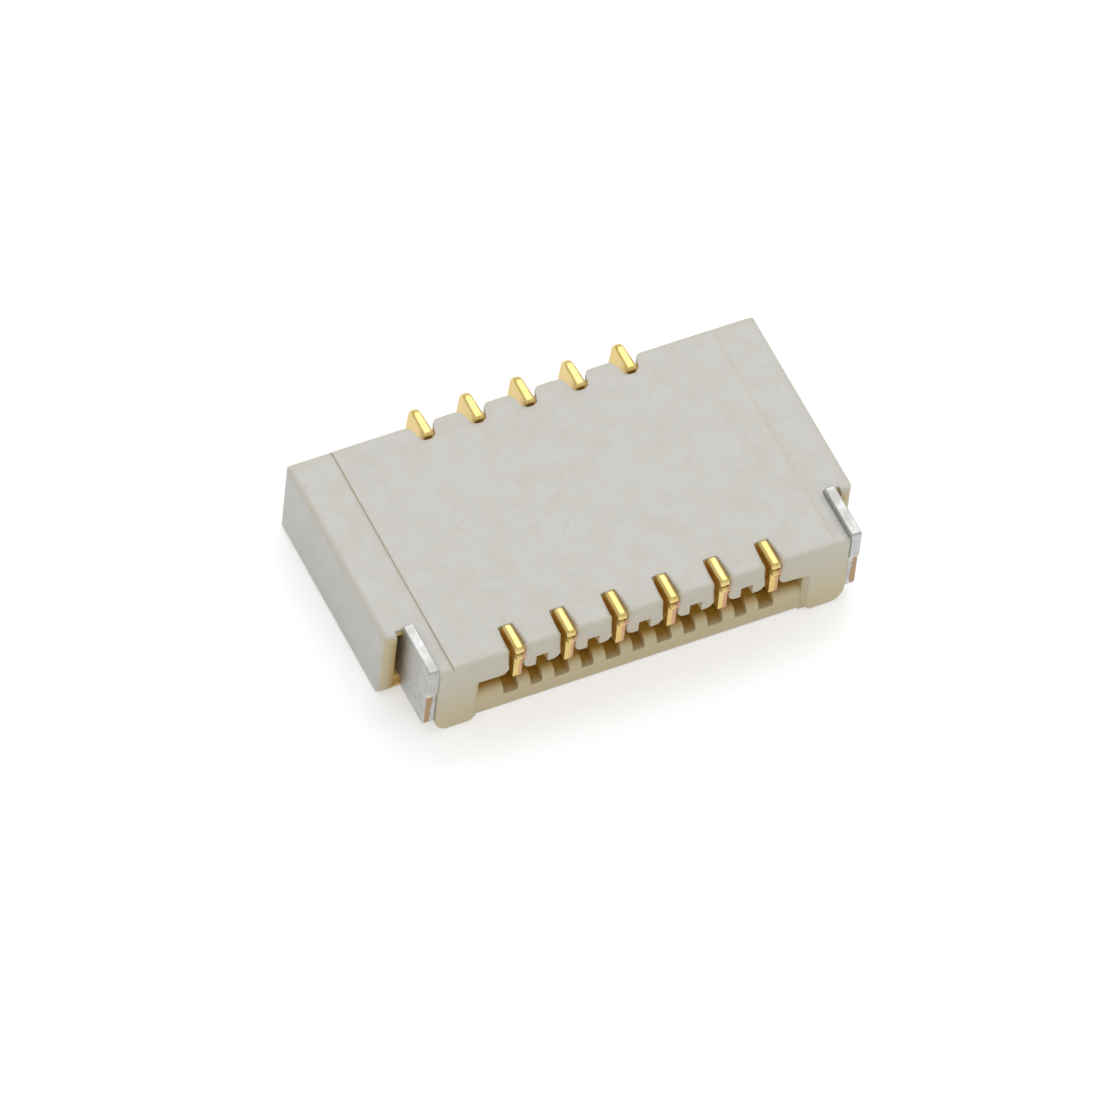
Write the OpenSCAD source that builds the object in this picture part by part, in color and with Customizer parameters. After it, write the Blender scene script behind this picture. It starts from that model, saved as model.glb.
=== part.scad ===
// Flat-cable connector with a rear flip actuator, lying on its lid side.
// +X runs along the contact row, the cable mouth faces -Y, and +Z points out of
// the board-mounting face. The origin is under the middle of the overall box.

/* [Contacts] */
// Distance between neighbouring contacts
pitch = 0.5; // [0.5:0.05:0.7]
// Thickness of the stamped contact sheet
contact_t = 0.18; // [0.12:0.01:0.19]
// Height of the base beam and of the spring arm above their long edges
beam_h = 0.21; // [0.15:0.01:0.23]
// Height of the spring arm
arm_h = 0.16; // [0.1:0.01:0.18]
// How far the contact bumps stand into the cable channel
bump_h = 0.1; // [0.04:0.01:0.14]
// How far the solder faces stand proud of the mounting face
solder_rise = 0.1; // [0.05:0.01:0.2]
// Length of a front solder tail inside the mouth face
front_tail_len = 0.55; // [0.4:0.05:0.8]
// How far the solder face of a front tail stands ahead of the mouth face
nose_reach = 0.09; // [0.05:0.01:0.2]
// How much further the shear lip under that face reaches
lip_reach = 0.05; // [0.02:0.01:0.1]
// Height of the shear lip's lower edge below the solder face
lip_drop = 0.24; // [0.2:0.01:0.3]
// Length of a rear solder tail inside the rear face
rear_tail_len = 0.42; // [0.3:0.02:0.5]
// How far the rear tails stand behind the rear face
tail_reach = 0.28; // [0.1:0.02:0.6]
// Rounding of a rear tail's outer top corner
tail_round = 0.22; // [0.05:0.01:0.25]

/* [Housing] */
// Depth of the housing from the mouth face to the rear face
housing_depth = 5.3; // [5.2:0.1:6.5]
// Height from the lid face to the side zones of the mounting face
side_z = 1.7; // [1.65:0.01:1.9]
// Step up from the side zones to the central zone of the mounting face
center_rise = 0.04; // [0.02:0.01:0.08]
// Thickness of the mounting wall above the cable channel
mounting_wall = 0.64; // [0.55:0.01:0.7]
// Thickness of the lid wall below the cable channel
lid_wall = 0.62; // [0.5:0.01:0.66]
// Room beside the outer contacts, up to the side of the mouth
mouth_margin = 0.67; // [0.5:0.01:0.9]
// Thickness of the end walls beside the mouth
end_wall = 0.85; // [0.6:0.01:1.1]
// How far the ears stand out beyond the end walls
ear_reach = 0.59; // [0.5:0.01:0.9]
// Distance from the mouth face back to the ears
ear_setback = 1.07; // [0.8:0.01:1.3]
// How far the ears' rear faces stand behind the housing's rear face
ear_back = 0.08; // [0.02:0.01:0.15]
// Distance of the zone step inside the end wall's outer face
zone_inset = 0.29; // [0.1:0.01:0.4]
// Depth to which a cable can be pushed in
cable_depth = 2.3; // [2:0.05:2.4]
// Thickness of the wall that stops the cable
stop_wall = 0.15; // [0.1:0.01:0.2]
// How far the lid wall's front lies behind the mouth face
lid_setback = 0.1; // [0.05:0.01:0.2]
// Rounding that leads the cable over the lid wall
lead_round = 0.2; // [0.1:0.01:0.22]
// Width and depth of the lead-in at the sides of the mouth
side_lead = 0.1; // [0.05:0.01:0.2]
// Rounding of the ears' upper edges
top_round = 0.14; // [0.05:0.01:0.15]
// Rounding of the rear upper edge
rear_top_round = 0.18; // [0.05:0.01:0.25]
// Rounding of the upper edge at the mouth face
front_round = 0.1; // [0.04:0.01:0.15]
// Rounding of the edges round the lid face
lid_round = 0.1; // [0.05:0.01:0.15]
// Rounding of the ears' upright rear corners
rear_corner_round = 0.24; // [0.1:0.01:0.3]
// Rounding of the ears' upright front corners
ear_corner_round = 0.22; // [0.1:0.01:0.25]
// Rounding of the ears' lower front edge
ear_low_round = 0.32; // [0.1:0.01:0.4]
// Rounding of the ears' rear upper edge
ear_rear_round = 0.3; // [0.1:0.01:0.4]
// Rounding of the ears' rear lower edge
ear_rear_low_round = 0.18; // [0.05:0.01:0.25]
// Rounding of the end walls' outer lower corners
cheek_round = 0.4; // [0.15:0.01:0.45]
// Rounding of the end walls' lower corners beside the mouth
cheek_inner_round = 0.36; // [0.15:0.01:0.4]

/* [Slots] */
// Width of the slots that hold the front row of contacts
front_slot_w = 0.28; // [0.22:0.01:0.3]
// Width of the slots that hold the rear row of contacts
rear_slot_w = 0.22; // [0.2:0.01:0.26]
// Depth of the contact slots in each wall, measured from the cable channel
slot_depth = 0.24; // [0.24:0.01:0.28]
// Width of the openings for the rear solder tails
tail_gap_w = 0.35; // [0.26:0.01:0.4]
// Rounding of the lower corners beside each front solder tail
block_round = 0.16; // [0.05:0.01:0.2]
// Rounding of the rear edge beside each rear solder tail
tab_round = 0.3; // [0.1:0.01:0.32]

/* [Actuator] */
// Distance from the mouth face back to the actuator's axis
pivot_depth = 3.35; // [3.3:0.01:3.45]
// Height of the actuator's axis above the lid face
pivot_z = 0.8; // [0.78:0.01:0.82]
// Radius of the actuator's shaft
shaft_r = 0.16; // [0.12:0.01:0.16]
// Radial clearance of the shaft in its bearing seats
shaft_clearance = 0.03; // [0.02:0.01:0.05]
// Length of shaft inside each bearing seat
trunnion_len = 0.22; // [0.15:0.01:0.35]
// Thickness of the actuator's plate
plate_t = 0.5; // [0.4:0.01:0.52]
// Distance from the axis back to the actuator's free edge
plate_reach = 1.82; // [1.5:0.01:1.85]
// How far the closed actuator stays above the lid face
plate_lift = 0.04; // [0.02:0.01:0.06]
// Clearance at each end of the actuator
plate_end_gap = 0.05; // [0.03:0.01:0.1]
// Clearance between a contact lever and its slot in the actuator, on each side
lever_gap = 0.05; // [0.03:0.01:0.06]

/* [Hold-downs] */
// Thickness of the hold-down plates
nail_t = 0.2; // [0.12:0.01:0.25]
// Height of a hold-down's lower edge above the lid face
nail_low = 0.27; // [0.2:0.01:0.4]
// Length of the tongue inside the ear
tongue_len = 1.1; // [0.6:0.05:1.5]
// Clearance on the outside of a hold-down in its pocket
pocket_gap = 0.12; // [0.05:0.01:0.15]
// How far a hold-down's upper edge reaches into the ear
nail_seat = 0.1; // [0.05:0.01:0.2]
// How far a hold-down's lower front edge stands back from its upper one
nail_step = 0.04; // [0.02:0.01:0.08]

/* [Hidden] */
front_count = 6;
rear_count = front_count - 1;
arc_steps = 6;
past = 1;

// Places along the contact row
row_half = (front_count - 1) * pitch;
mouth_half = row_half + mouth_margin;
wall_half = mouth_half + end_wall;
zone_half = wall_half - zone_inset;
ear_half = wall_half + ear_reach;
cavity_half = row_half + 0.95;
function front_x(i) = (2 * i - front_count - 1) * pitch;
function rear_x(i) = (2 * i - rear_count - 1) * pitch;

// Places from the mouth to the rear, with the overall box centred on the origin
front_y = -(housing_depth + tail_reach - nose_reach - lip_reach) / 2;
rear_y = front_y + housing_depth;
ear_y = front_y + ear_setback;
ear_rear_y = rear_y + ear_back;
lid_front_y = front_y + lid_setback;
stop_y = front_y + cable_depth;
cavity_y = stop_y + stop_wall;
pivot_y = front_y + pivot_depth;

// Heights from the lid face to the solder faces
center_z = side_z + center_rise;
solder_z = center_z + solder_rise;
channel_low_z = lid_wall;
channel_top_z = center_z - mounting_wall;
slot_floor_z = channel_low_z - slot_depth;
slot_ceiling_z = channel_top_z + slot_depth;

// Places on the contact blade
blade_gap = 0.03;
beam_z = slot_ceiling_z - beam_h;
arm_z = slot_floor_z + blade_gap;
arm_front_y = front_y + 0.42;
riser_y = cavity_y + 0.05;
riser_w = 0.3;
hook_gap = 0.05;
hook_w = 0.13;
saddle_gap = 0.04;

function unit(v) = v / norm(v);

// Points of an arc that replaces the corner at b on the way from a to c
function corner_arc(a, b, c, r) =
    let (
        to_a = unit(a - b),
        to_c = unit(c - b),
        half = acos(to_a * to_c) / 2,
        centre = b + unit(to_a + to_c) * r / sin(half),
        first = b + to_a * r / tan(half) - centre,
        last = b + to_c * r / tan(half) - centre,
        start = atan2(first[1], first[0]),
        sweep = (atan2(last[1], last[0]) - start + 540) % 360 - 180
    )
    [for (i = [0:arc_steps])
        let (turn = start + sweep * i / arc_steps)
        centre + r * [cos(turn), sin(turn)]];

// Outline through corners given as [x, y] for a sharp one or [x, y, radius] for a round one
function rounded(corners) =
    let (n = len(corners), at = [for (c = corners) [c[0], c[1]]])
    [for (i = [0:n - 1]) each
        len(corners[i]) == 2
            ? [at[i]]
            : corner_arc(at[(i + n - 1) % n], at[i], at[(i + 1) % n], corners[i][2])];

// Outline of a slot across the first axis that flares round at its mouth and ends in rounded
// corners; sign is +1 where the mouth faces along the second axis and -1 where it faces back
function flared_slot(at, mouth, sign, half_w, flare, depth, end_r) =
    rounded([
        [at - half_w, mouth - sign * depth, end_r],
        [at + half_w, mouth - sign * depth, end_r],
        [at + half_w, mouth, flare],
        [at + half_w + 2 * flare, mouth],
        [at + half_w + 2 * flare, mouth + sign * 0.01],
        [at - half_w - 2 * flare, mouth + sign * 0.01],
        [at - half_w - 2 * flare, mouth],
        [at - half_w, mouth, flare]
    ]);

// Extrusions of an outline along one axis between two places
module along_x(x0, x1) translate([x0, 0, 0]) rotate([90, 0, 90]) linear_extrude(x1 - x0) children();
module along_y(y0, y1) translate([0, y1, 0]) rotate([90, 0, 0]) linear_extrude(y1 - y0) children();
module along_z(z0, z1) translate([0, 0, z0]) linear_extrude(z1 - z0) children();
module block(x0, x1, y0, y1, z0, z1) translate([x0, y0, z0]) cube([x1 - x0, y1 - y0, z1 - z0]);
module both_sides() {
    children();
    mirror([1, 0, 0]) children();
}

// Side outline of a length of the housing, with the roundings of its lower front, lower rear,
// upper rear and upper front edges
module side_outline(start_y, end_y, top_z, rounds) {
    polygon(rounded([
        [start_y, 0, rounds[0]], [end_y, 0, rounds[1]],
        [end_y, top_z, rounds[2]], [start_y, top_z, rounds[3]]
    ]));
}

// Outer form of the housing, before anything is cut from it
module housing_blank() {
    intersection() {
        along_z(0, center_z) polygon(rounded([
            [-wall_half, front_y, 0.05], [wall_half, front_y, 0.05],
            [wall_half, ear_y], [ear_half, ear_y, ear_corner_round],
            [ear_half, ear_rear_y, rear_corner_round],
            [zone_half, ear_rear_y, ear_back / 2], [zone_half, rear_y],
            [-zone_half, rear_y], [-zone_half, ear_rear_y, ear_back / 2],
            [-ear_half, ear_rear_y, rear_corner_round],
            [-ear_half, ear_y, ear_corner_round], [-wall_half, ear_y]
        ]));
        along_y(front_y, ear_rear_y) polygon(rounded([
            [-ear_half, 0, lid_round], [ear_half, 0, lid_round],
            [ear_half, side_z, top_round], [zone_half, side_z],
            [zone_half, center_z], [-zone_half, center_z],
            [-zone_half, side_z], [-ear_half, side_z, top_round]
        ]));
        union() {
            along_x(-zone_half, zone_half)
                side_outline(front_y, rear_y, center_z, [lid_round, lid_round, rear_top_round, front_round]);
            both_sides() {
                along_x(zone_half, wall_half) side_outline(front_y, ear_rear_y, side_z,
                    [lid_round, ear_rear_low_round, ear_rear_round, front_round]);
                along_x(wall_half, ear_half) side_outline(ear_y, ear_rear_y, side_z,
                    [ear_low_round, ear_rear_low_round, ear_rear_round, front_round]);
            }
        }
    }
}

// Cable mouth: the channel, the rounded edge of the lid wall and the set-back below it
module mouth_cut() {
    along_x(-mouth_half, mouth_half) polygon(rounded([
        [front_y - past, channel_top_z], [stop_y, channel_top_z], [stop_y, channel_low_z],
        [lid_front_y, channel_low_z, lead_round], [lid_front_y, 0, lid_round],
        [stop_y, 0], [stop_y, -past], [front_y - past, -past]
    ]));
    both_sides() along_z(-past, channel_top_z) polygon([
        [mouth_half - past / 2, lid_front_y], [mouth_half, lid_front_y],
        [mouth_half + side_lead, front_y], [mouth_half + side_lead, front_y - past],
        [mouth_half - past / 2, front_y - past]
    ]);
}

// Slots that hold the blades, with the openings for the solder tails
module contact_slots() {
    for (i = [1:front_count]) {
        block(front_x(i) - front_slot_w / 2, front_x(i) + front_slot_w / 2,
            front_y - past, front_y + pivot_depth + 1.3, slot_floor_z, slot_ceiling_z);
        along_y(front_y - past, front_y + front_tail_len + blade_gap) polygon(flared_slot(
            front_x(i), channel_top_z, -1, front_slot_w / 2, block_round, mounting_wall + past, 0.01));
    }
    for (i = [1:rear_count]) {
        block(rear_x(i) - rear_slot_w / 2, rear_x(i) + rear_slot_w / 2,
            front_y - past, rear_y + past, slot_floor_z, slot_ceiling_z);
        along_z(channel_top_z, center_z + past) polygon(
            flared_slot(rear_x(i), rear_y, 1, tail_gap_w / 2, tab_round, rear_tail_len + blade_gap,
                tail_gap_w / 2 - 0.02));
    }
}

// Room for the actuator, with a seat for its shaft at each end
module actuator_bay() {
    block(-cavity_half, cavity_half, cavity_y, rear_y + past, -past, channel_top_z);
    seat_r = shaft_r + shaft_clearance;
    seat_half = cavity_half + trunnion_len + shaft_clearance;
    translate([-seat_half, pivot_y, pivot_z])
        rotate([0, 90, 0]) cylinder(h = 2 * seat_half, r = seat_r, $fn = 48);
    block(-seat_half, seat_half, pivot_y - seat_r, pivot_y + seat_r, -past, pivot_z);
}

// Lower corners of each end wall, and the pocket in the ear for each hold-down
module side_cuts() {
    outer_r = min(cheek_round, end_wall / 2);
    inner_r = min(cheek_inner_round, end_wall - outer_r - 0.01);
    middle = wall_half - outer_r;
    pocket_out = wall_half + nail_t + pocket_gap;
    both_sides() {
        along_y(front_y - past, ear_y) polygon(rounded([
            [wall_half, past], [wall_half, 0, outer_r], [middle, 0],
            [middle, -past], [wall_half + past, -past], [wall_half + past, past]
        ]));
        along_y(front_y - past, lid_front_y) polygon(rounded([
            [mouth_half, past / 2], [mouth_half, 0, inner_r], [middle, 0],
            [middle, -past], [mouth_half - past, -past], [mouth_half - past, past / 2]
        ]));
        block(wall_half, pocket_out, ear_y - past, ear_y + tongue_len + blade_gap,
            nail_low + 0.1, side_z - 0.18);
        block(wall_half, pocket_out, ear_y - past, ear_y + nail_seat + blade_gap, nail_low, center_z + past);
    }
}

module housing() {
    color([0.82, 0.81, 0.76]) difference() {
        housing_blank();
        mouth_cut();
        contact_slots();
        actuator_bay();
        side_cuts();
    }
}

// Corners shared by both rows: from the base beam's rear part down the riser,
// along the lever to its hook, back along the arm and up the riser again
function blade_corners() =
    let (
        bump_y = arm_front_y + 0.22,
        arm_top_z = arm_z + arm_h,
        hook_y = pivot_y + shaft_r + hook_gap
    )
    [
        [pivot_y + shaft_r, beam_z, 0.05],
        [pivot_y + shaft_r - 0.04, pivot_z + shaft_r + saddle_gap, 0.03],
        [pivot_y - shaft_r + 0.04, pivot_z + shaft_r + saddle_gap, 0.03],
        [pivot_y - shaft_r, beam_z, 0.05],
        [riser_y + riser_w, beam_z, 0.08],
        [riser_y + riser_w, arm_top_z, 0.08],
        [hook_y, arm_top_z, 0.04],
        [hook_y, pivot_z - 0.03, 0.04],
        [hook_y + hook_w, pivot_z - 0.03, 0.04],
        [hook_y + hook_w, arm_z, 0.1],
        [arm_front_y, arm_z, 0.05],
        [arm_front_y, arm_top_z, 0.05],
        [bump_y - 0.08, channel_low_z + bump_h, 0.08],
        [bump_y + 0.08, channel_low_z + bump_h, 0.08],
        [bump_y + 0.3, arm_top_z, 0.1],
        [riser_y, arm_top_z, 0.08],
        [riser_y, beam_z, 0.08]
    ];

// Bump on the base beam that meets the cable's other face
function base_bump() =
    let (bump_y = front_y + 1.25)
    [
        [bump_y + 0.3, beam_z, 0.1],
        [bump_y + 0.08, channel_top_z - bump_h, 0.08],
        [bump_y - 0.08, channel_top_z - bump_h, 0.08],
        [bump_y - 0.3, beam_z, 0.1]
    ];

// Front-row contact: its tail fills the slot at the mouth and hangs over the mouth face. The shear
// lip under the solder face is where the blade was cut from its strip.
module contact_front(i) {
    nose_y = front_y - nose_reach;
    lip_y = nose_y - lip_reach;
    lip_z = solder_z - lip_drop;
    arm_y = nose_y + 0.04;
    arm_low_z = beam_z - 0.11;
    tail_y = front_y + front_tail_len;
    end_y = front_y + pivot_depth + 1.2;
    x0 = front_x(i) - contact_t / 2;
    color([0.86, 0.7, 0.36]) along_x(x0, x0 + contact_t) polygon(rounded(concat(
        [[end_y, beam_z, 0.05]], blade_corners(), base_bump(),
        [
            [front_y + 0.3, beam_z, 0.1], [front_y + 0.12, arm_low_z, 0.06], [arm_y, arm_low_z, 0.04],
            [arm_y, lip_z, 0.02], [lip_y, lip_z + 0.02, 0.02], [lip_y, lip_z + 0.08, 0.02],
            [nose_y + 0.02, lip_z + 0.1], [nose_y, lip_z + 0.13], [nose_y, solder_z, 0.08],
            [tail_y, solder_z, 0.08], [tail_y, slot_ceiling_z], [end_y, slot_ceiling_z, 0.05]
        ])));
}

// Rear-row contact: its tail rises through the rear edge and ends in a rounded corner
module contact_rear(i) {
    tail_y = rear_y - rear_tail_len;
    end_y = rear_y + tail_reach;
    x0 = rear_x(i) - contact_t / 2;
    color([0.86, 0.7, 0.36]) along_x(x0, x0 + contact_t) polygon(rounded(concat(
        [[end_y, beam_z, 0.1]], blade_corners(), base_bump(),
        [
            [front_y + 0.55, beam_z, 0.05], [front_y + 0.55, slot_ceiling_z, 0.05],
            [tail_y, slot_ceiling_z], [tail_y, solder_z, 0.05], [end_y, solder_z, tail_round]
        ])));
}

// Flip actuator, closed: a plate carried on its shaft by teeth between the contact levers
module actuator() {
    half = cavity_half - plate_end_gap;
    shaft_half = half + trunnion_len;
    lid_z = plate_lift;
    inner_z = plate_lift + plate_t;
    lever_y = pivot_y + shaft_r + hook_gap + hook_w + 2 * lever_gap;
    tooth_y = lever_y + 0.12;
    slot_w = contact_t + 2 * lever_gap;
    color([0.16, 0.15, 0.14]) union() {
        translate([-shaft_half, pivot_y, pivot_z])
            rotate([0, 90, 0]) cylinder(h = 2 * shaft_half, r = shaft_r, $fn = 48);
        difference() {
            along_x(-half, half) polygon(rounded([
                [pivot_y - shaft_r, pivot_z], [pivot_y - shaft_r, lid_z, 0.12],
                [pivot_y + plate_reach, lid_z, 0.16], [pivot_y + plate_reach, inner_z, 0.08],
                [tooth_y, inner_z, 0.08], [pivot_y + shaft_r, pivot_z]
            ]));
            for (i = [1:front_count]) lever_slot(front_x(i), slot_w, tooth_y);
            for (i = [1:rear_count]) lever_slot(rear_x(i), slot_w, tooth_y);
        }
    }
}
module lever_slot(x, w, end_y) {
    block(x - w / 2, x + w / 2, pivot_y - past, end_y, -past, pivot_z + past);
}

// Hold-down plate, left one: it stands against the end wall, and its tongue sits in the ear
module hold_down() {
    seat_y = ear_y + nail_seat;
    notch_y = ear_y - blade_gap;
    low_y = front_y + nail_step;
    step_z = solder_z - 0.64;
    tongue_y = ear_y + tongue_len;
    color([0.78, 0.79, 0.79]) along_x(-wall_half - nail_t, -wall_half) polygon(rounded([
        [low_y, nail_low, 0.16], [notch_y, nail_low, 0.05], [notch_y, nail_low + 0.18],
        [tongue_y, nail_low + 0.18, 0.1], [tongue_y, side_z - 0.25, 0.1], [seat_y, side_z - 0.25, 0.05],
        [seat_y, solder_z, 0.04], [front_y, solder_z, 0.06], [front_y, step_z, 0.04], [low_y, step_z - 0.06]
    ]));
}

housing();
actuator();
for (i = [1:front_count]) contact_front(i);
for (i = [1:rear_count]) contact_rear(i);
hold_down();  // hold_down_left
mirror([1, 0, 0]) hold_down();  // hold_down_right
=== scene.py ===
import math
import bmesh
import bpy
from mathutils import Matrix, Vector
from mathutils.bvhtree import BVHTree
from mathutils.geometry import intersect_point_line


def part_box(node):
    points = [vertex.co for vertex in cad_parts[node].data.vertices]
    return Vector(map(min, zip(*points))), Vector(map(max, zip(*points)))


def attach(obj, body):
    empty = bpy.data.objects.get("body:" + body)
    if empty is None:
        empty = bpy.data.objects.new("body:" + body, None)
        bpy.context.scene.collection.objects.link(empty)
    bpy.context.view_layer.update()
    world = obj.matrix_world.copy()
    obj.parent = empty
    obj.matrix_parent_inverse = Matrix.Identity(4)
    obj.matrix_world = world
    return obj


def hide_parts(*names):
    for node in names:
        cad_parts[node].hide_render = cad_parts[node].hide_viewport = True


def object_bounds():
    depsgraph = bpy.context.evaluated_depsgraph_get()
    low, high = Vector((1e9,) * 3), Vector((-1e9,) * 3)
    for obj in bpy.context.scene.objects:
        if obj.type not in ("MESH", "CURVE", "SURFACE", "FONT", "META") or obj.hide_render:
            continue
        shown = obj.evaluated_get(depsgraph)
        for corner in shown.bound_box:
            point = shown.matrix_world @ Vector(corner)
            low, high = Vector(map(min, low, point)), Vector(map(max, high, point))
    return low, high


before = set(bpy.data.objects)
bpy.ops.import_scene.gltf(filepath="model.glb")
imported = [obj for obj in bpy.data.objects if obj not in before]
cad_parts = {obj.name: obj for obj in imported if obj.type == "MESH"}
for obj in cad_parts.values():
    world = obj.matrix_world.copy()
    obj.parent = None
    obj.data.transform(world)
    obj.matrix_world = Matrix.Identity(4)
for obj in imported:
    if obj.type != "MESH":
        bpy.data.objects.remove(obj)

mm = 0.001
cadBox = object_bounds()
print("frame loaded, box", [round(v / mm, 3) for corner in cadBox for v in corner])

# places on the connector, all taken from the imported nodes
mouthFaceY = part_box("housing")[0].y
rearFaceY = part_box("housing")[1].y
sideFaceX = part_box("housing")[1].x
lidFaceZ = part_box("housing")[0].z
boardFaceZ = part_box("housing")[1].z
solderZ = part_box("contact_front_1")[1].z
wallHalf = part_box("hold_down_right")[0].x

# the central zone stands zoneDrop above the sides and ends zoneInset inside the walls
# the ears reach earBack behind it
zoneDrop, zoneInset, earBack = 0.04 * mm, 0.29 * mm, 0.08 * mm
sideZ = boardFaceZ - zoneDrop
zoneHalf = wallHalf - zoneInset
frontNodes = sorted(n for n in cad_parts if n.startswith("contact_front_"))
rearNodes = sorted(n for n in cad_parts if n.startswith("contact_rear_"))


def nodeMiddleX(name):
    low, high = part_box(name)
    return (low.x + high.x) / 2


cameraSet = {
    "azimuth": -30.525,
    "elevation": 52.270,
    "roll": 6.897,
    "distance": 269.05 * mm,
    "lens": 488.3,
    "sensor": 36,
    "clip": (0.01, 10),
    "target": (-0.6444 * mm, mouthFaceY + 2.1014 * mm, 0.87 * mm),
}


def makeCamera(opts):
    azimuth, elevation, roll = (math.radians(opts[k]) for k in ("azimuth", "elevation", "roll"))
    back = Vector((
        math.sin(azimuth) * math.cos(elevation),
        -math.cos(azimuth) * math.cos(elevation),
        math.sin(elevation),
    ))
    side = (-back).cross(Vector((0, 0, 1))).normalized()
    top = side.cross(-back)
    right = side * math.cos(roll) + top * math.sin(roll)
    up = top * math.cos(roll) - side * math.sin(roll)
    data = bpy.data.cameras.new("mainCamera")
    data.lens = opts["lens"]
    data.sensor_width = opts["sensor"]
    data.clip_start, data.clip_end = opts["clip"]
    cam = bpy.data.objects.new("mainCamera", data)
    bpy.context.scene.collection.objects.link(cam)
    turn = Matrix((right, up, back)).transposed().to_4x4()
    cam.matrix_world = Matrix.Translation(Vector(opts["target"]) + back * opts["distance"]) @ turn
    bpy.context.scene.camera = cam


makeCamera(cameraSet)
print("camera placed")


def newMaterial(name):
    mat = bpy.data.materials.new(name)
    mat.use_nodes = True
    nodes, links = mat.node_tree.nodes, mat.node_tree.links
    nodes.clear()
    out = nodes.new("ShaderNodeOutputMaterial")
    shader = nodes.new("ShaderNodeBsdfPrincipled")
    links.new(shader.outputs[0], out.inputs["Surface"])
    return mat, nodes, links, shader


def ramp(nodes, links, value, low, high, toLow=0.0, toHigh=1.0):
    n = nodes.new("ShaderNodeMapRange")
    n.interpolation_type = "SMOOTHSTEP"
    for key, number in (("From Min", low), ("From Max", high), ("To Min", toLow), ("To Max", toHigh)):
        n.inputs[key].default_value = number
    links.new(value, n.inputs["Value"])
    return n.outputs[0]


def maths(nodes, links, kind, a, b):
    n = nodes.new("ShaderNodeMath")
    n.operation = kind
    for i, v in enumerate((a, b)):
        if isinstance(v, (int, float)):
            n.inputs[i].default_value = v
        else:
            links.new(v, n.inputs[i])
    return n.outputs[0]


def mixColour(nodes, links, factor, a, b):
    n = nodes.new("ShaderNodeMix")
    n.data_type = "RGBA"
    for key, v in ((0, factor), (6, a), (7, b)):
        if isinstance(v, (int, float)):
            n.inputs[key].default_value = v
        elif isinstance(v, tuple):
            n.inputs[key].default_value = (*v, 1)
        else:
            links.new(v, n.inputs[key])
    return n.outputs[2]


def startGroup(name, inputs, outputs):
    tree = bpy.data.node_groups.new(name, "ShaderNodeTree")
    for label, kind, value in inputs:
        socket = tree.interface.new_socket(label, in_out="INPUT", socket_type=kind)
        if value is not None:
            socket.default_value = value
    for label, kind in outputs:
        tree.interface.new_socket(label, in_out="OUTPUT", socket_type=kind)
    return tree, tree.nodes, tree.links, tree.nodes.new("NodeGroupInput"), tree.nodes.new("NodeGroupOutput")


grainSet = {"fineDetail": 3, "waveDetail": 4, "waveRoughness": 0.6}


def makeGrainGroup(opts):
    # fine height grain over slow waves, for a surface that came out of a mould or off a rolled strip
    tree, nodes, links, inp, out = startGroup(
        "surfaceGrain",
        [
            ("Vector", "NodeSocketVector", None),
            ("Fine Scale", "NodeSocketFloat", 20000.0),
            ("Wave Scale", "NodeSocketFloat", 1500.0),
            ("Wave Share", "NodeSocketFloat", 0.5),
        ],
        [("Height", "NodeSocketFloat"), ("Mottle", "NodeSocketFloat")],
    )
    fine = nodes.new("ShaderNodeTexNoise")
    fine.inputs["Detail"].default_value = opts["fineDetail"]
    wave = nodes.new("ShaderNodeTexNoise")
    wave.inputs["Detail"].default_value = opts["waveDetail"]
    wave.inputs["Roughness"].default_value = opts["waveRoughness"]
    for tex, label in ((fine, "Fine Scale"), (wave, "Wave Scale")):
        links.new(inp.outputs["Vector"], tex.inputs["Vector"])
        links.new(inp.outputs[label], tex.inputs["Scale"])
    blend = nodes.new("ShaderNodeMix")
    links.new(inp.outputs["Wave Share"], blend.inputs[0])
    links.new(fine.outputs["Fac"], blend.inputs[2])
    links.new(wave.outputs["Fac"], blend.inputs[3])
    links.new(blend.outputs[0], out.inputs["Height"])
    links.new(wave.outputs["Fac"], out.inputs["Mottle"])
    return tree


scratchSet = {"detail": 2, "distortion": 0.4, "stretch": (1, 0.06, 1), "crest": 0.85}


def makeScratchGroup(opts):
    # sparse thin marks along one direction: a noise drawn out very long, cut to its crests
    tree, nodes, links, inp, out = startGroup(
        "fineScratches",
        [
            ("Vector", "NodeSocketVector", None),
            ("Width Scale", "NodeSocketFloat", 12000.0),
            ("Direction", "NodeSocketFloat", 0.6),
            ("Sparseness", "NodeSocketFloat", 0.7),
        ],
        [("Mask", "NodeSocketFloat")],
    )
    turn = nodes.new("ShaderNodeVectorRotate")
    turn.rotation_type = "Z_AXIS"
    links.new(inp.outputs["Vector"], turn.inputs["Vector"])
    links.new(inp.outputs["Direction"], turn.inputs["Angle"])
    longer = nodes.new("ShaderNodeVectorMath")
    longer.operation = "MULTIPLY"
    longer.inputs[1].default_value = opts["stretch"]
    links.new(turn.outputs[0], longer.inputs[0])
    tex = nodes.new("ShaderNodeTexNoise")
    tex.inputs["Detail"].default_value = opts["detail"]
    tex.inputs["Distortion"].default_value = opts["distortion"]
    links.new(longer.outputs[0], tex.inputs["Vector"])
    links.new(inp.outputs["Width Scale"], tex.inputs["Scale"])
    cut = nodes.new("ShaderNodeMapRange")
    cut.interpolation_type = "SMOOTHSTEP"
    cut.inputs["From Max"].default_value = opts["crest"]
    links.new(tex.outputs["Fac"], cut.inputs["Value"])
    links.new(inp.outputs["Sparseness"], cut.inputs["From Min"])
    links.new(cut.outputs[0], out.inputs["Mask"])
    return tree


grainGroup = makeGrainGroup(grainSet)
scratchGroup = makeScratchGroup(scratchSet)
# nearly all of the mottle lies in this span
mottleSpan = (0.3, 0.7)


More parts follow.
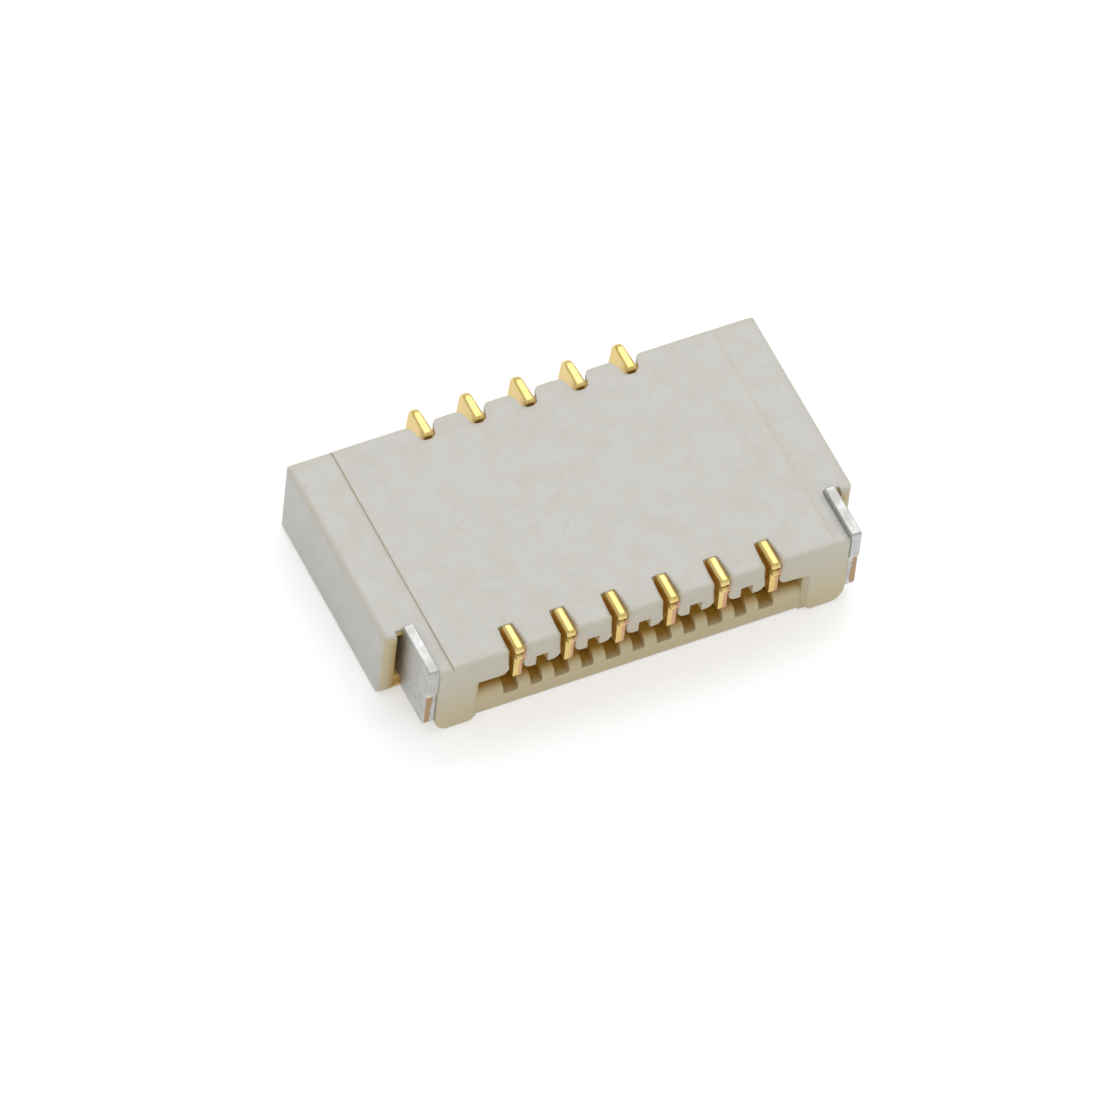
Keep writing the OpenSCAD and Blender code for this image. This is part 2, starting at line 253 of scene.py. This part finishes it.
def placeGroup(nodes, links, tree, vector, values):
    n = nodes.new("ShaderNodeGroup")
    n.node_tree = tree
    links.new(vector, n.inputs["Vector"])
    for label, value in values.items():
        n.inputs[label].default_value = value
    return n


def bump(nodes, links, shader, height, strength, distance):
    n = nodes.new("ShaderNodeBump")
    n.inputs["Strength"].default_value = strength
    n.inputs["Distance"].default_value = distance
    links.new(height, n.inputs["Height"])
    links.new(n.outputs["Normal"], shader.inputs["Normal"])


def roughen(nodes, links, shader, grain, limits):
    links.new(ramp(nodes, links, grain.outputs["Mottle"], *mottleSpan, *limits), shader.inputs["Roughness"])


# painted shade and painted through-light: the colour turns warm, then amber, with the depth below the outer
# faces, standing for the shade in the recesses and the light that the thin plastic lets through
creamSet = {
    "face": (0.650, 0.638, 0.592),
    "mottle": (0.634, 0.620, 0.566),
    "scratch": (0.530, 0.505, 0.430),
    "stepShade": (0.650, 0.600, 0.480),
    "warmShade": (0.640, 0.555, 0.345),
    "amberShade": (0.520, 0.310, 0.050),
    "slotLightAmber": (0.820, 0.590, 0.225),
    "slotLightGlow": (0.060, 0.036, 0.010),
    "speck": (0.560, 0.500, 0.390),
    "warmDepth": (0.004 * mm, 0.085 * mm),
    "amberDepth": (0.08 * mm, 0.34 * mm),
    "slotDepth": (0.02 * mm, 0.16 * mm),
    "roughness": (0.42, 0.54),
    "bump": (0.3, 0.003 * mm),
    "grain": {"Fine Scale": 26000.0, "Wave Scale": 2600.0, "Wave Share": 0.3},
    "marks": {"Width Scale": 9000.0, "Direction": 0.75, "Sparseness": 0.66},
    "crossMarks": {"Width Scale": 7000.0, "Direction": -0.9, "Sparseness": 0.70},
    "specks": {"Fine Scale": 15000.0, "Wave Scale": 9000.0, "Wave Share": 0.0},
    "cloud": (0.36, 0.64),
    "scratchShare": 0.5,
    "speckRange": (0.62, 0.72, 0, 0.45),
    "stepFade": 0.005 * mm,
    "mouthReach": (0.14 * mm, 0.02 * mm),
    "mouthLower": (boardFaceZ - 0.1 * mm, 0.2 * mm, 0.3, 0.95),
    "earRear": (rearFaceY - 0.7 * mm, rearFaceY - 0.6 * mm),
    "earSide": (zoneHalf - 0.03 * mm, zoneHalf - 0.01 * mm),
    "earWarmth": 0.45,
    "slotFloor": (boardFaceZ - 0.66 * mm, boardFaceZ - 0.58 * mm),
    "pocketStart": (wallHalf + 0.02 * mm, wallHalf + 0.05 * mm),
    "pocketEnd": (wallHalf + 0.34 * mm, wallHalf + 0.26 * mm),
    "stepShadeWidth": (0.024 * mm, 0.004 * mm),
    "stepShadeTop": (sideZ - 0.05 * mm, sideZ - 0.01 * mm),
}


def creamPlastic(opts):
    mat, nodes, links, shader = newMaterial("creamPlastic")
    place = nodes.new("ShaderNodeTexCoord").outputs["Object"]
    grain = placeGroup(nodes, links, grainGroup, place, opts["grain"])
    marks = placeGroup(nodes, links, scratchGroup, place, opts["marks"])
    crossed = placeGroup(nodes, links, scratchGroup, place, opts["crossMarks"])
    scratches = maths(nodes, links, "MAXIMUM", marks.outputs[0], crossed.outputs[0])
    cloud = ramp(nodes, links, grain.outputs["Mottle"], *opts["cloud"])
    tone = mixColour(nodes, links, cloud, opts["face"], opts["mottle"])
    scratches = maths(nodes, links, "MULTIPLY", scratches, opts["scratchShare"])
    tone = mixColour(nodes, links, scratches, tone, opts["scratch"])
    # scattered fine specks
    dots = placeGroup(nodes, links, grainGroup, place, opts["specks"])
    speck = ramp(nodes, links, dots.outputs["Height"], *opts["speckRange"])
    tone = mixColour(nodes, links, speck, tone, opts["speck"])
    axes = nodes.new("ShaderNodeSeparateXYZ")
    links.new(place, axes.inputs[0])
    x, y, z = axes.outputs
    across = maths(nodes, links, "ABSOLUTE", x, 0)
    step = (zoneHalf - opts["stepFade"], zoneHalf + opts["stepFade"])
    topZ = ramp(nodes, links, across, *step, boardFaceZ, sideZ)
    fromMouth = maths(nodes, links, "SUBTRACT", y, mouthFaceY)
    rearY = ramp(nodes, links, across, *step, rearFaceY - earBack, rearFaceY)
    depth = maths(nodes, links, "SUBTRACT", rearY, y)
    for other in (
        fromMouth,
        maths(nodes, links, "SUBTRACT", topZ, z),
        maths(nodes, links, "SUBTRACT", z, lidFaceZ),
        maths(nodes, links, "SUBTRACT", sideFaceX, across),
    ):
        depth = maths(nodes, links, "MINIMUM", depth, other)
    # painted shade: the mouth's own face is painted warm too, more so towards its lower edge
    nearMouth = ramp(nodes, links, fromMouth, *opts["mouthReach"])
    lower = ramp(nodes, links, z, *opts["mouthLower"])
    warmth = maths(nodes, links, "MULTIPLY", nearMouth, lower)
    # the painted warm shade is weaker at the rear edge of the ears, which stays paler
    rearward = ramp(nodes, links, y, *opts["earRear"])
    sideward = ramp(nodes, links, across, *opts["earSide"])
    earRear = maths(nodes, links, "MULTIPLY", rearward, sideward)
    # painted shade: the colour warms with the depth below the outer faces
    deep = ramp(nodes, links, depth, *opts["warmDepth"])
    deep = maths(nodes, links, "MULTIPLY", deep, ramp(nodes, links, earRear, 0, 1, 1, opts["earWarmth"]))
    warmth = maths(nodes, links, "MAXIMUM", warmth, deep)
    tone = mixColour(nodes, links, warmth, tone, opts["warmShade"])
    # painted shade: deeper still the colour turns amber
    tone = mixColour(nodes, links, ramp(nodes, links, depth, *opts["amberDepth"]), tone, opts["amberShade"])
    # painted light: the slots and pockets in the board side are painted a brighter amber with a faint glow,
    # standing for light that comes through their walls
    upper = ramp(nodes, links, z, *opts["slotFloor"])
    slots = maths(nodes, links, "MULTIPLY", upper, ramp(nodes, links, depth, *opts["slotDepth"]))
    pocket = ramp(nodes, links, across, *opts["pocketStart"])
    pocket = maths(nodes, links, "MULTIPLY", pocket, ramp(nodes, links, depth, *opts["slotDepth"]))
    slots = maths(nodes, links, "MAXIMUM", slots, pocket)
    inner = ramp(nodes, links, across, *opts["pocketEnd"])
    slots = maths(nodes, links, "MULTIPLY", slots, inner)
    slots = maths(nodes, links, "MULTIPLY", slots, maths(nodes, links, "SUBTRACT", 1, earRear))
    tone = mixColour(nodes, links, slots, tone, opts["slotLightAmber"])
    # painted shade: a warm brown line along the step at the edge of the raised zone
    fromStep = maths(nodes, links, "ABSOLUTE", maths(nodes, links, "SUBTRACT", across, zoneHalf), 0)
    stepShade = ramp(nodes, links, fromStep, *opts["stepShadeWidth"])
    stepShade = maths(nodes, links, "MULTIPLY", stepShade, ramp(nodes, links, z, *opts["stepShadeTop"]))
    tone = mixColour(nodes, links, stepShade, tone, opts["stepShade"])
    links.new(tone, shader.inputs["Base Color"])
    links.new(mixColour(nodes, links, slots, (0.0, 0.0, 0.0), opts["slotLightGlow"]), shader.inputs["Emission Color"])
    shader.inputs["Emission Strength"].default_value = 1
    roughen(nodes, links, shader, grain, opts["roughness"])
    bump(nodes, links, shader, grain.outputs["Height"], *opts["bump"])
    return mat


# the plating is rubbed off on one side of the front arms, where the copper shows
goldSet = {
    "plating": (0.75, 0.55, 0.18),
    "paler": (0.83, 0.66, 0.29),
    "copper": (0.62, 0.36, 0.22),
    "nickShade": (0.10, 0.06, 0.03),
    "nickDrop": 0.12 * mm,
    "nickWidth": (0.022 * mm, 0.008 * mm),
    "nickShare": 0.75,
    "rubbedSide": (-0.05, 0.25),
    "ragged": 0.25,
    "grain": {"Fine Scale": 30000.0, "Wave Scale": 6000.0, "Wave Share": 0.5},
    "cloud": (0.35, 0.65),
    "bladeShare": (0.5, 1),
    "ahead": (mouthFaceY - 0.02 * mm, mouthFaceY - 0.04 * mm),
    "below": (solderZ - 0.10 * mm, solderZ - 0.14 * mm),
    "roughness": (0.24, 0.40),
    "bump": (0.4, 0.003 * mm),
}


def goldPlating(opts):
    mat, nodes, links, shader = newMaterial("goldPlating")
    place = nodes.new("ShaderNodeTexCoord").outputs["Object"]
    grain = placeGroup(nodes, links, grainGroup, place, opts["grain"])
    blade = nodes.new("ShaderNodeAttribute")
    blade.attribute_name = "bladeTone"
    cloud = ramp(nodes, links, grain.outputs["Mottle"], *opts["cloud"])
    share = ramp(nodes, links, blade.outputs["Fac"], 0, 1, *opts["bladeShare"])
    cloud = maths(nodes, links, "MULTIPLY", cloud, share)
    tone = mixColour(nodes, links, cloud, opts["plating"], opts["paler"])
    axes = nodes.new("ShaderNodeSeparateXYZ")
    links.new(place, axes.inputs[0])
    side = nodes.new("ShaderNodeAttribute")
    side.attribute_name = "bladeSide"
    ragged = ramp(nodes, links, grain.outputs["Mottle"], *mottleSpan, -opts["ragged"], opts["ragged"])
    rubbed = ramp(nodes, links, maths(nodes, links, "ADD", side.outputs["Fac"], ragged), *opts["rubbedSide"])
    ahead = ramp(nodes, links, axes.outputs["Y"], *opts["ahead"])
    below = ramp(nodes, links, axes.outputs["Z"], *opts["below"])
    front = maths(nodes, links, "MULTIPLY", ahead, below)
    tone = mixColour(nodes, links, maths(nodes, links, "MULTIPLY", rubbed, front), tone, opts["copper"])
    # painted shade: a dark line across the front of the arms, where the shear nick sits below the solder face
    drop = maths(nodes, links, "SUBTRACT", solderZ - opts["nickDrop"], axes.outputs["Z"])
    line = ramp(nodes, links, maths(nodes, links, "ABSOLUTE", drop, 0), *opts["nickWidth"])
    line = maths(nodes, links, "MULTIPLY", maths(nodes, links, "MULTIPLY", line, ahead), opts["nickShare"])
    tone = mixColour(nodes, links, line, tone, opts["nickShade"])
    links.new(tone, shader.inputs["Base Color"])
    roughen(nodes, links, shader, grain, opts["roughness"])
    shader.inputs["Metallic"].default_value = 1
    bump(nodes, links, shader, grain.outputs["Height"], *opts["bump"])
    return mat


# tin all over, with the sheared copper showing on the lower part of the front edge
tinSet = {
    "tin": (0.56, 0.57, 0.56),
    "dull": (0.49, 0.49, 0.47),
    "copper": (0.42, 0.28, 0.16),
    "burrHighlight": (0.80, 0.78, 0.68),
    "shearTop": solderZ - 0.68 * mm,
    "shearInner": 0.09 * mm,
    "shearFade": 0.015 * mm,
    "innerFade": 0.01 * mm,
    "ragged": 0.03 * mm,
    "grain": {"Fine Scale": 24000.0, "Wave Scale": 3600.0, "Wave Share": 0.5},
    "cloud": (0.35, 0.65),
    "front": (mouthFaceY + 0.06 * mm, mouthFaceY + 0.05 * mm),
    "burrWidth": (0.05 * mm, 0.02 * mm),
    "metallic": 0.85,
    "roughness": (0.34, 0.50),
    "bump": (0.25, 0.003 * mm),
}


def tinPlating(opts):
    mat, nodes, links, shader = newMaterial("tinPlating")
    place = nodes.new("ShaderNodeTexCoord").outputs["Object"]
    grain = placeGroup(nodes, links, grainGroup, place, opts["grain"])
    cloud = ramp(nodes, links, grain.outputs["Mottle"], *opts["cloud"])
    tone = mixColour(nodes, links, cloud, opts["tin"], opts["dull"])
    axes = nodes.new("ShaderNodeSeparateXYZ")
    links.new(place, axes.inputs[0])
    ragged = ramp(nodes, links, grain.outputs["Mottle"], *mottleSpan, -opts["ragged"], opts["ragged"])
    height = maths(nodes, links, "ADD", axes.outputs["Z"], ragged)
    reach = maths(nodes, links, "ADD", maths(nodes, links, "ABSOLUTE", axes.outputs["X"], 0), ragged)
    front = ramp(nodes, links, axes.outputs["Y"], *opts["front"])
    top, fade = opts["shearTop"], opts["shearFade"]
    low = ramp(nodes, links, height, top + fade, top - fade)
    inner, fade = wallHalf + opts["shearInner"], opts["innerFade"]
    outer = ramp(nodes, links, reach, inner - fade, inner + fade)
    bare = maths(nodes, links, "MULTIPLY", maths(nodes, links, "MULTIPLY", front, low), outer)
    tone = mixColour(nodes, links, bare, tone, opts["copper"])
    # painted highlight: a pale band where the shear begins, standing for the lit burr there
    fromBurr = maths(nodes, links, "ABSOLUTE", maths(nodes, links, "SUBTRACT", height, opts["shearTop"]), 0)
    burrHighlight = maths(nodes, links, "MULTIPLY", ramp(nodes, links, fromBurr, *opts["burrWidth"]), front)
    tone = mixColour(nodes, links, burrHighlight, tone, opts["burrHighlight"])
    links.new(tone, shader.inputs["Base Color"])
    roughen(nodes, links, shader, grain, opts["roughness"])
    shader.inputs["Metallic"].default_value = opts["metallic"]
    bump(nodes, links, shader, grain.outputs["Height"], *opts["bump"])
    return mat


darkSet = {
    "dark": (0.022, 0.021, 0.020),
    "worn": (0.045, 0.043, 0.040),
    "markShare": 0.5,
    "grain": {"Fine Scale": 22000.0, "Wave Scale": 1800.0, "Wave Share": 0.4},
    "marks": {"Width Scale": 8000.0, "Direction": 0.3, "Sparseness": 0.66},
    "cloud": (0.35, 0.7),
    "roughness": (0.42, 0.58),
    "bump": (0.35, 0.004 * mm),
}


def darkPlastic(opts):
    mat, nodes, links, shader = newMaterial("darkPlastic")
    place = nodes.new("ShaderNodeTexCoord").outputs["Object"]
    grain = placeGroup(nodes, links, grainGroup, place, opts["grain"])
    marks = placeGroup(nodes, links, scratchGroup, place, opts["marks"])
    cloud = ramp(nodes, links, grain.outputs["Mottle"], *opts["cloud"])
    tone = mixColour(nodes, links, cloud, opts["dark"], opts["worn"])
    rubbed = maths(nodes, links, "MULTIPLY", marks.outputs[0], opts["markShare"])
    tone = mixColour(nodes, links, rubbed, tone, opts["worn"])
    links.new(tone, shader.inputs["Base Color"])
    roughen(nodes, links, shader, grain, opts["roughness"])
    bump(nodes, links, shader, grain.outputs["Height"], *opts["bump"])
    return mat


cream = creamPlastic(creamSet)
gold = goldPlating(goldSet)
tin = tinPlating(tinSet)
dark = darkPlastic(darkSet)
print("materials made")


mergeSet = {"joined": 0.0005 * mm, "flat": math.radians(0.8)}


def mergedCopy(name, node, shift=(0, 0, 0)):
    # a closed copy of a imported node's mesh, with flat faces joined into single polygons
    bm = bmesh.new()
    bm.from_mesh(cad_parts[node].data)
    bmesh.ops.remove_doubles(bm, verts=bm.verts, dist=mergeSet["joined"])
    bmesh.ops.dissolve_limit(
        bm, angle_limit=mergeSet["flat"], verts=bm.verts, edges=bm.edges, use_dissolve_boundaries=False
    )
    bmesh.ops.translate(bm, verts=bm.verts, vec=shift)
    mesh = bpy.data.meshes.new(name)
    bm.to_mesh(mesh)
    bm.free()
    piece = bpy.data.objects.new(name, mesh)
    bpy.context.scene.collection.objects.link(piece)
    return piece


# sharper turns than this are rounded; strays and folds are counted against the rounding's width
edgeSet = {
    "sharpest": math.radians(32),
    "tries": 24,
    "stray": 0.45,
    "fold": 0.5,
    "nearLengths": 0.1,
    "nearWidths": 2,
    "patient": 6,
    "reachFrom": 4,
    "reachStep": 0.6,
}


def softenEdges(piece, width, steps, wanted=lambda p: True):
    # rounds the sharp edges in the wanted places; an edge stays sharp where its rounding strays or folds
    for poly in piece.data.polygons:
        poly.use_smooth = True
    plain = piece.data.copy()
    bm = bmesh.new()
    bm.from_mesh(plain)
    surface = BVHTree.FromBMesh(bm)
    ends = [(e.verts[0].co.copy(), e.verts[1].co.copy()) for e in bm.edges]
    chosen = {
        e.index
        for e in bm.edges
        if e.is_manifold and e.calc_face_angle(0) > edgeSet["sharpest"]
        and wanted(sum(ends[e.index], Vector()) / 2)
    }
    bm.free()
    least = [min(v.co[i] for v in plain.vertices) for i in range(3)]
    most = [max(v.co[i] for v in plain.vertices) for i in range(3)]
    for go in range(edgeSet["tries"]):
        piece.data = plain.copy()
        weights = piece.data.attributes.new("bevel_weight_edge", "FLOAT", "EDGE")
        for i in chosen:
            weights.data[i].value = 1
        mod = piece.modifiers.new("edges", "BEVEL")
        mod.width = width
        mod.segments = steps
        mod.limit_method = "WEIGHT"
        mod.use_clamp_overlap = False
        settle(piece)
        mesh = piece.data
        astray = [v.co for v in mesh.vertices if surface.find_nearest(v.co)[3] > edgeSet["stray"] * width]
        # a face that folds back over itself is astray too
        mesh.calc_loop_triangles()
        for t in mesh.loop_triangles:
            if t.normal.dot(mesh.polygons[t.polygon_index].normal) < 0:
                spots = [mesh.vertices[i].co for i in t.vertices]
                sides = [(spots[i] - spots[i - 1]).length for i in range(3)]
                i = sides.index(min(sides))
                if max(sides) > edgeSet["fold"] * width:
                    astray.append((spots[i] + spots[i - 1]) / 2)
        if not astray:
            break
        for spot in astray:
            spot = surface.find_nearest(spot)[0]
            for i in list(chosen):
                a, b = ends[i]
                limit = (a - b).length * edgeSet["nearLengths"] + edgeSet["nearWidths"] * width
                near = ((a + b) / 2 - spot).length < limit
                # when that does not help, any edge that passes by goes too, ever further out
                if not near and go > edgeSet["patient"]:
                    along = min(max(intersect_point_line(spot, a, b)[1], 0), 1)
                    limit = (go - edgeSet["reachFrom"]) * edgeSet["reachStep"] * width
                    near = (a.lerp(b, along) - spot).length < limit
                if near:
                    chosen.discard(i)
    # nothing leaves the box of the unrounded piece
    for v in piece.data.vertices:
        v.co = [min(max(c, low), high) for c, low, high in zip(v.co, least, most)]
    left = piece.data.attributes.get("bevel_weight_edge")
    if left:
        piece.data.attributes.remove(left)
    print(piece.name, len(chosen), "edges rounded,", len(astray), "points astray")


# faces within this turn of each other blend
# a slim face follows its broadest neighbour, and a broad one keeps its own facing
flatSet = {
    "turn": math.radians(42),
    "slim": 0.004 * mm,
    "broad": 0.5 * mm * mm,
    "merge": 0.0008 * mm,
    "ownShare": 1e-12,
}


def keepFlats(piece):
    # each corner turns with the broad faces round it: the flats stay flat and the roundings bend between them
    bm = bmesh.new()
    bm.from_mesh(piece.data)
    bmesh.ops.dissolve_degenerate(bm, dist=flatSet["merge"], edges=bm.edges)
    bm.normal_update()
    facing = []
    for f in bm.faces:
        beside = [o for e in f.edges for o in e.link_faces if o is not f]
        slim = f.calc_area() < flatSet["slim"] * max(e.calc_length() for e in f.edges)
        broadest = max(beside, key=lambda o: o.calc_area(), default=f)
        facing.append((broadest if slim else f).normal.copy())
    bm.to_mesh(piece.data)
    bm.free()
    mesh = piece.data
    areas = [p.area for p in mesh.polygons]
    around = [[] for _ in mesh.vertices]
    for p in mesh.polygons:
        p.use_smooth = True
        for v in p.vertices:
            around[v].append(p.index)
    turns = []
    for p in mesh.polygons:
        own = facing[p.index]
        for v in p.vertices:
            total = own * flatSet["ownShare"]
            for i in around[v]:
                if facing[i].dot(own) > math.cos(flatSet["turn"]):
                    total = total + facing[i] * areas[i]
            turns.append(own if p.area > flatSet["broad"] else total.normalized())
    mesh.normals_split_custom_set(turns)


def settle(piece):
    # the evaluated result becomes the piece's own plain mesh
    dg = bpy.context.evaluated_depsgraph_get()
    done = bpy.data.meshes.new_from_object(piece.evaluated_get(dg), depsgraph=dg)
    piece.modifiers.clear()
    old = piece.data
    piece.data = done
    bpy.data.meshes.remove(old)


def paint(piece, mat):
    piece.data.materials.clear()
    piece.data.materials.append(mat)


# the moulding: plump edges beside the front solder tails, fine ones elsewhere
shellSet = {
    "plump": 0.085 * mm,
    "plumpSteps": 4,
    "edge": 0.022 * mm,
    "edgeSteps": 2,
    "blockEndY": mouthFaceY + 0.56 * mm,
    "blockLowZ": boardFaceZ - 0.46 * mm,
    "blockHalf": wallHalf - 1.2 * mm,
    "stepBelow": 0.001 * mm,
    "stepBeside": 0.01 * mm,
}


def makeHousingShell(opts):
    shell = mergedCopy("housingShell", "housing")

    def besideTails(p):
        return p.y < opts["blockEndY"] and p.z > opts["blockLowZ"] and abs(p.x) < opts["blockHalf"]

    def offTheStep(p):
        return p.z < sideZ - opts["stepBelow"] or abs(abs(p.x) - zoneHalf) > opts["stepBeside"]

    softenEdges(shell, opts["plump"], opts["plumpSteps"], besideTails)
    softenEdges(shell, opts["edge"], opts["edgeSteps"], offTheStep)
    keepFlats(shell)
    paint(shell, cream)
    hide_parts("housing")
    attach(shell, "housing")


makeHousingShell(shellSet)
print("housing shell made")


# the flip lock
lockSet = {"edge": 0.02 * mm, "edgeSteps": 2, "innerZ": 0.5 * mm}


def makeFlipLock(opts):
    lock = mergedCopy("flipLock", "actuator")
    # the inner edges by the shaft stay sharp, as rounding them leaves folded faces
    softenEdges(lock, opts["edge"], opts["edgeSteps"], lambda p: p.z < opts["innerZ"])
    keepFlats(lock)
    paint(lock, dark)
    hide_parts("actuator")
    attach(lock, "actuator")


makeFlipLock(lockSet)
print("flip lock made")


# the two rows of blades: one blade, repeated at the pitch of its row
rowSet = {
    "edge": 0.06 * mm,
    "edgeSteps": 4,
    "fine": 0.025 * mm,
    "fineSteps": 2,
    "frontSeed": 7,
    "rearSeed": 19,
    "frontTailZ": solderZ - 0.1 * mm,
    "rearTailY": rearFaceY - 0.36 * mm,
    "rearTailZ": solderZ - 0.6 * mm,
}


def makeRowTree():
    tree = bpy.data.node_groups.new("bladeRow", "GeometryNodeTree")
    for label, kind in (
        ("Geometry", "NodeSocketGeometry"), ("Count", "NodeSocketInt"), ("Pitch", "NodeSocketFloat"),
        ("First X", "NodeSocketFloat"), ("Seed", "NodeSocketInt"), ("Material", "NodeSocketMaterial"),
    ):
        tree.interface.new_socket(label, in_out="INPUT", socket_type=kind)
    tree.interface.new_socket("Geometry", in_out="OUTPUT", socket_type="NodeSocketGeometry")
    nodes, links = tree.nodes, tree.links
    inp, out = nodes.new("NodeGroupInput"), nodes.new("NodeGroupOutput")
    step, start = nodes.new("ShaderNodeCombineXYZ"), nodes.new("ShaderNodeCombineXYZ")
    links.new(inp.outputs["Pitch"], step.inputs["X"])
    links.new(inp.outputs["First X"], start.inputs["X"])
    row = nodes.new("GeometryNodeMeshLine")
    links.new(inp.outputs["Count"], row.inputs["Count"])
    links.new(start.outputs[0], row.inputs["Start Location"])
    links.new(step.outputs[0], row.inputs["Offset"])
    place = nodes.new("GeometryNodeInstanceOnPoints")
    links.new(row.outputs[0], place.inputs["Points"])
    links.new(inp.outputs["Geometry"], place.inputs["Instance"])
    chance = nodes.new("FunctionNodeRandomValue")
    chance.data_type = "FLOAT"
    links.new(inp.outputs["Seed"], chance.inputs["Seed"])
    tone = nodes.new("GeometryNodeStoreNamedAttribute")
    tone.data_type = "FLOAT"
    tone.domain = "INSTANCE"
    tone.inputs["Name"].default_value = "bladeTone"
    links.new(place.outputs[0], tone.inputs["Geometry"])
    links.new(chance.outputs[1], tone.inputs["Value"])
    real = nodes.new("GeometryNodeRealizeInstances")
    links.new(tone.outputs[0], real.inputs[0])
    finish = nodes.new("GeometryNodeSetMaterial")
    links.new(real.outputs[0], finish.inputs["Geometry"])
    links.new(inp.outputs["Material"], finish.inputs["Material"])
    links.new(finish.outputs[0], out.inputs[0])
    return tree


def makeBladeRow(name, nodeNames, tree, opts):
    places = sorted(nodeMiddleX(n) for n in nodeNames)
    first = min(nodeNames, key=nodeMiddleX)
    row = mergedCopy(name, first, (-places[0], 0, 0))
    softenEdges(row, opts["edge"], opts["edgeSteps"], opts["tailPlace"])
    softenEdges(row, opts["fine"], opts["fineSteps"])
    half = max(v.co.x for v in row.data.vertices)
    side = row.data.attributes.new("bladeSide", "FLOAT", "POINT")
    for i, v in enumerate(row.data.vertices):
        side.data[i].value = v.co.x / half
    mod = row.modifiers.new("row", "NODES")
    mod.node_group = tree
    values = {
        "Count": len(places), "Pitch": places[1] - places[0], "First X": places[0],
        "Seed": opts["seed"], "Material": gold,
    }
    for item in tree.interface.items_tree:
        if item.in_out == "INPUT" and item.name in values:
            mod[item.identifier] = values[item.name]
    settle(row)
    keepFlats(row)
    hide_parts(*nodeNames)
    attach(row, "housing")


def onFrontTail(p):
    return p.z > rowSet["frontTailZ"]


def onRearTail(p):
    return p.y > rowSet["rearTailY"] and p.z > rowSet["rearTailZ"]


rowTree = makeRowTree()
frontRow = {**rowSet, "tailPlace": onFrontTail, "seed": rowSet["frontSeed"]}
rearRow = {**rowSet, "tailPlace": onRearTail, "seed": rowSet["rearSeed"]}
makeBladeRow("frontBlades", frontNodes, rowTree, frontRow)
makeBladeRow("rearBlades", rearNodes, rowTree, rearRow)
print("blade rows made")


# the hold-downs
plateSet = {"edge": 0.025 * mm, "edgeSteps": 3}


def makeHoldDown(name, node, opts):
    plate = mergedCopy(name, node)
    softenEdges(plate, opts["edge"], opts["edgeSteps"])
    keepFlats(plate)
    paint(plate, tin)
    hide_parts(node)
    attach(plate, "housing")


makeHoldDown("leftPlate", "hold_down_left", plateSet)
makeHoldDown("rightPlate", "hold_down_right", plateSet)
print("hold-downs made")

# the stage: a pale floor, a bright world and two soft lamps, each with power, place and size
studioSet = {
    "world": 0.68,
    "floorHalf": 2.0,
    "floorGap": 0.002 * mm,
    "floorTone": 0.80,
    "floorGlow": 0.42,
    "key": (0.34, (0.109, 0.184, 0.277), 0.26),
    "fill": (0.07, (-0.03, -0.30, 0.14), 0.20),
}


def makeFloor(opts):
    size = opts["floorHalf"]
    mesh = bpy.data.meshes.new("floor")
    z = cadBox[0].z - opts["floorGap"]
    corners = [(-size, -size, z), (size, -size, z), (size, size, z), (-size, size, z)]
    mesh.from_pydata(corners, [], [(0, 1, 2, 3)])
    floor = bpy.data.objects.new("floor", mesh)
    bpy.context.scene.collection.objects.link(floor)
    mat, nodes, links, shader = newMaterial("paleFloor")
    out = next(n for n in nodes if n.type == "OUTPUT_MATERIAL")
    shader.inputs["Base Color"].default_value = (opts["floorTone"],) * 3 + (1,)
    shader.inputs["Roughness"].default_value = 1
    shader.inputs["Specular IOR Level"].default_value = 0
    rays = nodes.new("ShaderNodeLightPath")
    seen = maths(nodes, links, "MAXIMUM", rays.outputs["Is Camera Ray"], rays.outputs["Is Glossy Ray"])
    seen = maths(nodes, links, "MAXIMUM", seen, rays.outputs["Is Transmission Ray"])
    shader.inputs["Emission Color"].default_value = (1, 1, 1, 1)
    links.new(maths(nodes, links, "MULTIPLY", seen, opts["floorGlow"]), shader.inputs["Emission Strength"])
    # from below the floor lets the eye through, so the underside can be seen
    clear = nodes.new("ShaderNodeBsdfTransparent")
    under = nodes.new("ShaderNodeNewGeometry")
    choose = nodes.new("ShaderNodeMixShader")
    links.new(under.outputs["Backfacing"], choose.inputs[0])
    links.new(shader.outputs[0], choose.inputs[1])
    links.new(clear.outputs[0], choose.inputs[2])
    links.new(choose.outputs[0], out.inputs["Surface"])
    mesh.materials.append(mat)


def makeWorld(opts):
    world = bpy.data.worlds.new("studio")
    bpy.context.scene.world = world
    world.use_nodes = True
    nodes, links = world.node_tree.nodes, world.node_tree.links
    back = nodes["Background"]
    rays = nodes.new("ShaderNodeLightPath")
    seen = maths(nodes, links, "MAXIMUM", rays.outputs["Is Camera Ray"], rays.outputs["Is Transmission Ray"])
    back.inputs["Color"].default_value = (1, 1, 1, 1)
    links.new(ramp(nodes, links, seen, 0, 1, opts["world"], 1), back.inputs["Strength"])


def makeLamp(name, power, place, size):
    data = bpy.data.lights.new(name, "AREA")
    data.energy = power
    data.size = size
    lamp = bpy.data.objects.new(name, data)
    lamp.location = place
    lamp.rotation_euler = (-Vector(place)).to_track_quat("-Z", "Y").to_euler()
    bpy.context.scene.collection.objects.link(lamp)


makeFloor(studioSet)
makeWorld(studioSet)
makeLamp("keyLamp", *studioSet["key"])
makeLamp("fillLamp", *studioSet["fill"])
bpy.context.scene.view_settings.view_transform = "Standard"
print("floor and light made")
